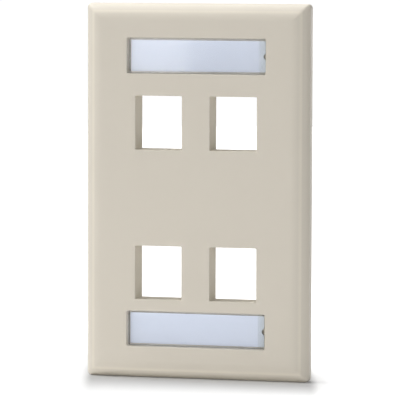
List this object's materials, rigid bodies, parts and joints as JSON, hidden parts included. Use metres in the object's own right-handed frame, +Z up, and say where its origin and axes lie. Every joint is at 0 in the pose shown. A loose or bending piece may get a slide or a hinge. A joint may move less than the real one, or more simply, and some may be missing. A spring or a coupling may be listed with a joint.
{
  "type": "keystone faceplate",
  "caption": "Upright wall faceplate with rounded shoulders, open ports for keystone jacks, and clear label covers that hide its wall screws.",
  "frame": {"origin": "middle of the flat back rim, midway between the two wall screws", "axes": "+X to the right seen from the front, +Y into the wall along the screws, +Z up"},
  "size_m": [0.0698, 0.0294, 0.1142],
  "materials": {
    "ivory_plastic": "satin moulded",
    "clear_plastic": "clear polished",
    "label_paper": "smooth paper",
    "plated_steel": "zinc plated, painted head"
  },
  "bodies": {
    "plate": {"faceplate": "ivory_plastic", "top_mounting_screw": "plated_steel", "bottom_mounting_screw": "plated_steel"},
    "top_cover": {"top_label_cover": "clear_plastic", "top_paper_label": "label_paper"},
    "bottom_cover": {"bottom_label_cover": "clear_plastic", "bottom_paper_label": "label_paper"}
  },
  "joints": [
    {"name": "top_cover_pull", "type": "slide", "parent": "plate", "child": "top_cover", "axis": [0, -1, 0], "range_m": [0, 0.012]},
    {"name": "bottom_cover_pull", "type": "slide", "parent": "plate", "child": "bottom_cover", "axis": [0, -1, 0], "range_m": [0, 0.012]}
  ]
}
